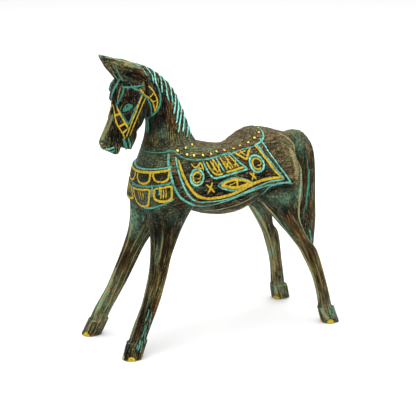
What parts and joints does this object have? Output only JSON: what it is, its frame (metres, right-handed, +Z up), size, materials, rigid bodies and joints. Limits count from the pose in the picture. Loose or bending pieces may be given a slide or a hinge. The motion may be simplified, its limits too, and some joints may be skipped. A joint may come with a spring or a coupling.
{
  "type": "carved horse figurine",
  "caption": "Standing carved wooden horse with splayed legs, saddle, saddle blanket, bridle and breast collar in painted relief, glued up from dowelled blocks.",
  "frame": {"origin": "on the floor, under the centre of the horse's bounding box", "axes": "+Z up; the horse faces -X and its left side is -Y"},
  "size_m": [0.255, 0.1144, 0.3],
  "materials": {
    "antiqued_wood": "satin",
    "verdigris_paint": "matte",
    "gold_paint": "satin",
    "dowel_wood": "matte"
  },
  "bodies": {
    "root": {"torso": "antiqued_wood", "neck_and_head": "antiqued_wood", "front_left_leg": "antiqued_wood", "front_right_leg": "antiqued_wood", "hind_left_leg": "antiqued_wood", "hind_right_leg": "antiqued_wood", "tail": "antiqued_wood", "neck_dowel_front": "dowel_wood", "neck_dowel_rear": "dowel_wood", "front_left_leg_dowel": "dowel_wood", "front_right_leg_dowel": "dowel_wood", "hind_left_leg_dowel": "dowel_wood", "hind_right_leg_dowel": "dowel_wood", "tail_dowel": "dowel_wood"}
  },
  "joints": []
}
